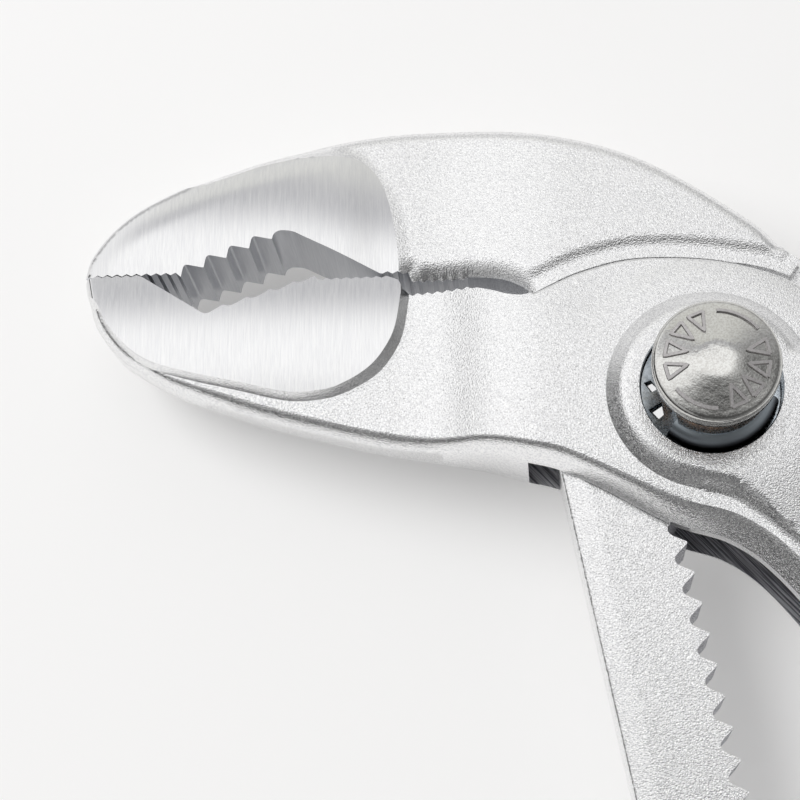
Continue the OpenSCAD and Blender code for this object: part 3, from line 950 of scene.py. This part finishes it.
def button_cap():
    flat, wall = BUTTON_R - BUTTON_EDGE, BUTTON_R - BUTTON_WALL
    profile = [(0, BUTTON_SEAT), (wall - SEAT_BEVEL, BUTTON_SEAT), (wall, BUTTON_SEAT - SEAT_BEVEL),
               (wall, BUTTON_LOW + RIM_BEVEL), (wall + RIM_BEVEL, BUTTON_LOW)]
    profile += [(BUTTON_R - inwards, BUTTON_LOW + up) for inwards, up in RIM_ROUND]
    profile += [tuple(p) for p in arc(BUTTON_EDGE, 0, 80, 10) + [flat, dome(flat) - BUTTON_EDGE]]
    profile += [(r, dome(r)) for r in np.linspace(flat, 0, CROWN_RINGS)[1:]]
    cap = smoothed(turned("button_cap", profile, chrome, BUTTON_SIDES), sharp_angle=50)
    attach(cap, "button")
    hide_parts("push_button")


def raised_strokes(name, paths, material):
    """Low ridges along paths on the button's crown."""
    verts, faces = [], []
    for path in paths:
        line = densified(path, MARK_STEP)
        faces += tube_faces(len(line), len(MARK_SECTION), len(verts), flipped=True)
        for p, side in zip(line, left_side(line)):
            for across, up in MARK_SECTION:
                q = p + side * across * MARK_WIDTH
                verts.append((*(q * MM), (dome(np.hypot(*q)) + up * MARK_HEIGHT) * MM))
    return new_object(name, verts, faces, [material])


def cap_marks():
    """Two arcs and two rows of outlined arrowheads that point inwards."""
    paths = [arc(MARK_BASE_R, start, start + ARC_SPAN, ARC_STEPS) for start in ARC_STARTS]
    for start in ARROW_STARTS:
        for k in range(ARROWS):
            a = math.radians(start + ARROW_TURN * k)
            out, across = np.array([math.cos(a), math.sin(a)]), np.array([-math.sin(a), math.cos(a)])
            left = out * MARK_BASE_R - across * ARROW_HALF
            right = out * MARK_BASE_R + across * ARROW_HALF
            paths.append(np.array([left, out * MARK_POINT_R, right, left]))
    marks = smoothed(raised_strokes("cap_marks", paths, rubbed), sharp_angle=40)
    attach(marks, "button")


# Spring, bolt and lock

SPRING_LOW, SPRING_WIRE_R, SPRING_GAP = 17.5, 0.35, 0.02
SPRING_R, SPRING_TURNS = (4.7, 3.15), 2.25
SPRING_STEPS, SPRING_SIDES = 108, 14


def spring_coil():
    """Conical spring that rises from the bolt's head into the button."""
    low = SPRING_LOW + SPRING_GAP + SPRING_WIRE_R
    high = BUTTON_SEAT - SPRING_GAP - SPRING_WIRE_R
    verts = []
    for i in range(SPRING_STEPS + 1):
        t = i / SPRING_STEPS
        a = 2 * math.pi * SPRING_TURNS * t
        r = SPRING_R[0] + (SPRING_R[1] - SPRING_R[0]) * t
        for k in range(SPRING_SIDES):
            b = 2 * math.pi * k / SPRING_SIDES
            z = low + (high - low) * t + SPRING_WIRE_R * math.sin(b)
            verts.append(round_point(r + SPRING_WIRE_R * math.cos(b), a, z))
    faces = tube_faces(SPRING_STEPS + 1, SPRING_SIDES)
    coil = smoothed(new_object("spring_coil", verts, faces, [copper]), sharp_angle=60)
    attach(coil, "hinge")
    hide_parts("return_spring")
    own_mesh(coil)


# Shoulder of the bolt: the angles it spans, its neck, its foot and the round over its top
BOLT_SPAN, BOLT_STEPS = (227, 345), 60
NECK_R, FOOT_Z, ROUND_Z, ROUND_SIZE = 5.1, 12.5, 15.0, (1.65, 2.2)


def bolt_shoulder():
    """Rounded shoulder of the hinge bolt that shows below the button, with painted shade towards the
    bore.
    """
    top = [NECK_R, ROUND_Z] + arc(1, 0, 90, 10) * ROUND_SIZE
    profile = joined([NECK_R, FOOT_Z], [NECK_R + ROUND_SIZE[0], FOOT_Z], top)
    angles = np.radians(np.linspace(*BOLT_SPAN, BOLT_STEPS))
    verts = [round_point(r, a, z) for a in angles for r, z in profile]
    faces = tube_faces(len(angles), len(profile))
    bolt_ring = smoothed(new_object("bolt_shoulder", verts, faces, [shoulder_painted_shade_zinc]), sharp_angle=40)
    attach(bolt_ring, "hinge")


GATE_FLAT, GATE_R, GATE_LOW, GATE_TOP = 4.25, 6.88, 13.9, 14.8
GATE_WINDOWS = [np.array([[-6.6, 0.75], [-5.9, 1.0], [-5.2, 0.1], [-5.9, -0.3]]),
                np.array([[-6.25, -2.1], [-4.9, -1.3], [-4.7, -2.6], [-5.4, -3.2]])]
TIP_SHARE, TIP_SHIFT, TIP_FALL, TIP_SINK = 0.68, np.array([0.14, -0.12]), 0.3, 0.05


def extruded(name, loops, holes, low, top, fall, material):
    """Upright plates over closed loops, each with the listed holes and a top that falls to the left."""
    verts, faces = [], []
    for loop in loops:
        plan, tris = plan_mesh([loop] + holes, [], [])
        for hole in holes:
            tris = tris[~inside(plan[tris].mean(1), hole)]
        corners = tris.tolist()
        up, down = len(verts), len(verts) + len(plan)
        heights = top - fall * (plan[:, 0].max() - plan[:, 0])
        verts += [(*(q * MM), z * MM) for q, z in zip(plan, heights)]
        verts += [(*(q * MM), low * MM) for q in plan]
        sides = {side for a, b, c in corners for side in ((a, b), (b, c), (c, a))}
        faces += [(up + a, up + b, up + c) for a, b, c in corners]
        faces += [(down + c, down + b, down + a) for a, b, c in corners]
        faces += [(up + j, up + i, down + i, down + j) for i, j in sorted(sides) if (j, i) not in sides]
    return new_object(name, verts, faces, [material])


def lock_gate():
    """Zinc plate in the left of the bore, with windows for two lock teeth, its zinc painted darker for
    the shade in the bore.
    """
    half_angle = math.degrees(math.acos(GATE_FLAT / GATE_R))
    rim = leaned(arc(GATE_R, 180 - half_angle, 180 + half_angle, 30))
    gate = extruded("lock_gate", [rim], GATE_WINDOWS, GATE_LOW, GATE_TOP, 0, gate_painted_shade_zinc)
    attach(gate, "hinge")


def lock_tips():
    """Tips of the two lock teeth in the plate's windows."""
    middles = [w.mean(0) for w in GATE_WINDOWS]
    loops = [m + TIP_SHIFT + TIP_SHARE * (w - m) for m, w in zip(middles, GATE_WINDOWS)]
    tips = extruded("lock_tips", loops, [], GATE_LOW, GATE_TOP - TIP_SINK, TIP_FALL, ground)
    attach(tips, "hinge")


# Grips, with distances from their front

GRIP_HALF_W, GRIP_INSET, GRIP_POWER = 7.75, 0.25, 0.6
GRIP_STEP, GRIP_SIDES = 1.0, 40
GRIP_FLARE, GRIP_FLARE_RUN = 1.1, (9, 5)
GRIP_LIP, GRIP_LIP_RUN = 0.9, (1.2, 0)
GRIP_RIB, GRIP_RIB_PITCH, GRIP_RIBS_START, GRIP_RIBS_STOP = 0.22, 4.2, (14, 18), (52, 46)
GRIP_END, GRIP_END_SHARE = 6.0, 0.05


def squared(v):
    """A sine or cosine that draws a squared section."""
    return np.sign(v) * np.abs(v) ** GRIP_POWER


def grip(name, run, body, node):
    """Soft sleeve with a squared section, a collar at the front and a round end."""
    line = densified(curve(run, 24), GRIP_STEP)
    at = np.concatenate([[0], np.cumsum(np.linalg.norm(np.diff(line, axis=0), axis=1))])
    collar = GRIP_FLARE * eased(at, *GRIP_FLARE_RUN) - GRIP_LIP * eased(at, *GRIP_LIP_RUN)
    ribs = GRIP_RIB * np.cos(2 * np.pi * at / GRIP_RIB_PITCH)
    ribs *= eased(at, *GRIP_RIBS_START) * eased(at, *GRIP_RIBS_STOP)
    end = np.maximum(np.sqrt(1 - nearness(at[-1] - at, GRIP_END) ** 2), GRIP_END_SHARE)
    wide = (GRIP_HALF_W + collar + ribs) * end
    tall = (MID_Z + np.minimum(0, collar) - GRIP_INSET + ribs) * end
    verts = []
    for p, side, half_w, half_h in zip(line, left_side(line), wide, tall):
        for a in 2 * np.pi * (np.arange(GRIP_SIDES) + 0.5) / GRIP_SIDES:
            q = p + side * half_w * squared(math.cos(a))
            verts.append((*(q * MM), (MID_Z + half_h * squared(math.sin(a))) * MM))
    faces = tube_faces(len(line), GRIP_SIDES, flipped=True)
    sleeve = smoothed(new_object(name, verts, faces, [plastic]), sharp_angle=50)
    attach(sleeve, body)
    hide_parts(node)


# Camera, from the photograph's vertical vanishing point

IMAGE, SENSOR = 800, 36
FOCAL_PX, PX_PER_MM = 1913.6, 10
VANISH_PX = (565.6, 1044.0)
AIM = Vector((-30.88, -0.59, 15.4)) * MM
CAMERA_DISTANCE = FOCAL_PX / PX_PER_MM * MM


def camera():
    world_z = -Vector((VANISH_PX[0] - IMAGE / 2, VANISH_PX[1] - IMAGE / 2, FOCAL_PX)).normalized()
    world_x = (Vector((1, 0, 0)) - world_z * world_z.x).normalized()
    world_y = world_z.cross(world_x)
    right, image_down, forward = [Vector(axis) for axis in zip(world_x, world_y, world_z)]
    data = bpy.data.cameras.new("camera")
    data.sensor_width = SENSOR
    data.lens = SENSOR * FOCAL_PX / IMAGE
    data.clip_start, data.clip_end = 0.01, 20
    obj = linked("camera", data)
    turn = Matrix((right, -image_down, -forward)).transposed().to_4x4()
    obj.matrix_world = Matrix.Translation(AIM - forward * CAMERA_DISTANCE) @ turn
    bpy.context.scene.camera = obj


# Light and floor

def mixed(tree, factor, a, b):
    node = new_node(tree, "ShaderNodeMix")
    node.data_type = "RGBA"
    tree.links.new(factor, node.inputs["Factor"])
    tree.links.new(a, node.inputs["A"])
    tree.links.new(b, node.inputs["B"])
    return node.outputs["Result"]


def plain(tree, value):
    node = new_node(tree, "ShaderNodeRGB")
    node.outputs["Color"].default_value = (value, value, value, 1)
    return node.outputs["Color"]


def studio():
    """White room: a bright strip overhead, a bright left side, dark right and camera sides."""
    world = bpy.data.worlds.new("studio")
    bpy.context.scene.world = world
    world.use_nodes = True
    tree = world.node_tree
    coords = new_node(tree, "ShaderNodeTexCoord")
    half = new_node(tree, "ShaderNodeMapping", Location=(0.5, 0.5, 0.5), Scale=(0.5, 0.5, 0.5))
    tree.links.new(coords.outputs["Generated"], half.inputs["Vector"])
    split = new_node(tree, "ShaderNodeSeparateXYZ")
    tree.links.new(half.outputs["Vector"], split.inputs["Vector"])
    east, north, up = split.outputs["X"], split.outputs["Y"], split.outputs["Z"]
    strip = ramp(tree, north, [
        (0.12, 0.14), (0.3, 0.08), (0.45, 0.12), (0.51, 0.5), (0.55, 1.1), (0.6, 1.27), (0.675, 1.27),
        (0.72, (0.61, 0.61, 0.63)), (0.755, (0.61, 0.61, 0.63)), (0.785, (0.85, 0.85, 0.82)), (1, 0.95)])
    left = ramp(tree, north, [(0, 0.5), (0.35, 0.5), (0.47, 0.85), (0.56, 1.12), (0.8, 1.12), (1, 0.95)])
    right = ramp(tree, north, [(0, 0.35), (0.22, 0.15), (0.65, 0.18), (0.8, 0.55), (1, 0.8)])
    to_left = ramp(tree, east, [(0.3, 1), (0.38, 0)])
    to_right = ramp(tree, east, [(0.6, 0), (0.74, 1)])
    horizon = ramp(tree, up, [(0.515, 1), (0.56, 0)])
    low = ramp(tree, up, [(0.72, 1), (0.84, 0)])
    not_north = ramp(tree, north, [(0.7, 1), (0.82, 0.45)])
    wall = ramp(tree, east, [
        (0, 0.05), (0.3, 0.08), (0.44, 0.3), (0.56, 0.3), (0.68, 0.15), (0.85, 0.35), (0.98, 0.5)])
    sky = mixed(tree, to_right, mixed(tree, to_left, strip, left), right)
    sky = mixed(tree, mixed(tree, low, plain(tree, 0), not_north), sky, wall)
    room = mixed(tree, horizon, sky, plain(tree, 0.95))
    tree.links.new(room, tree.nodes["Background"].inputs["Color"])


def fill_lamp():
    """Large soft lamp from the left that lifts the table and the grips."""
    data = bpy.data.lights.new("fill_lamp", "AREA")
    data.shape = "DISK"
    data.size = 1.1
    data.energy = 17
    lamp = linked("fill_lamp", data)
    lamp.location = (-1.0, 0.42, 1.0)
    lamp.rotation_euler = (-lamp.location).to_track_quat("-Z", "Y").to_euler()
    lamp.visible_glossy = False


TABLE_GLOW = 0.3


def floor():
    """White table top that keeps the soft shadow, part of its white coming from its own colour."""
    material, tree, shader = new_material("table_top", (0.925, 0.92, 0.915), 0, 0.8)
    shader.inputs["Specular IOR Level"].default_value = 0
    faint = noise(tree, place(tree), 8, 2)
    white = ramp(tree, faint, [(0.3, (0.92, 0.915, 0.91)), (0.7, (0.935, 0.93, 0.925))])
    tree.links.new(white, shader.inputs["Base Color"])
    glow = new_node(tree, "ShaderNodeEmission")
    tree.links.new(white, glow.inputs["Color"])
    path = new_node(tree, "ShaderNodeLightPath")
    seen = path.outputs["Is Camera Ray"]
    for ray in ("Is Glossy Ray", "Is Transmission Ray"):
        either = new_node(tree, "ShaderNodeMath")
        either.operation = "MAXIMUM"
        tree.links.new(seen, either.inputs[0])
        tree.links.new(path.outputs[ray], either.inputs[1])
        seen = either.outputs["Value"]
    share = new_node(tree, "ShaderNodeMath")
    share.operation = "MULTIPLY"
    share.inputs[1].default_value = TABLE_GLOW
    tree.links.new(seen, share.inputs[0])
    mix = new_node(tree, "ShaderNodeMixShader")
    tree.links.new(share.outputs["Value"], mix.inputs["Fac"])
    tree.links.new(shader.outputs["BSDF"], mix.inputs[1])
    tree.links.new(glow.outputs["Emission"], mix.inputs[2])
    tree.links.new(mix.outputs["Shader"], tree.nodes["Material Output"].inputs["Surface"])
    size, low = 3.0, -0.0001
    verts = [(-size, -size, low), (size, -size, low), (size, size, low), (-size, size, low)]
    new_object("table_top", verts, [(0, 1, 2, 3)], [material])


inner_lever()
outer_lever()
button_cap()
cap_marks()
spring_coil()
bolt_shoulder()
lock_gate()
lock_tips()
grip("inner_grip", [[20.75, -93.5], [33.75, -123.75], [48.5, -154], [60.5, -177.4]], "inner_lever",
     "upper_lever_grip")
grip("outer_grip", [[59, -93], [76.5, -135], [95.9, -182.6]], "outer_lever", "lower_lever_grip")
painted("hinge_bolt", zinc)
painted("toothed_lock", zinc)
painted("retaining_ring", oiled)

camera()
studio()
fill_lamp()
floor()
bpy.context.scene.view_settings.view_transform = "Standard"
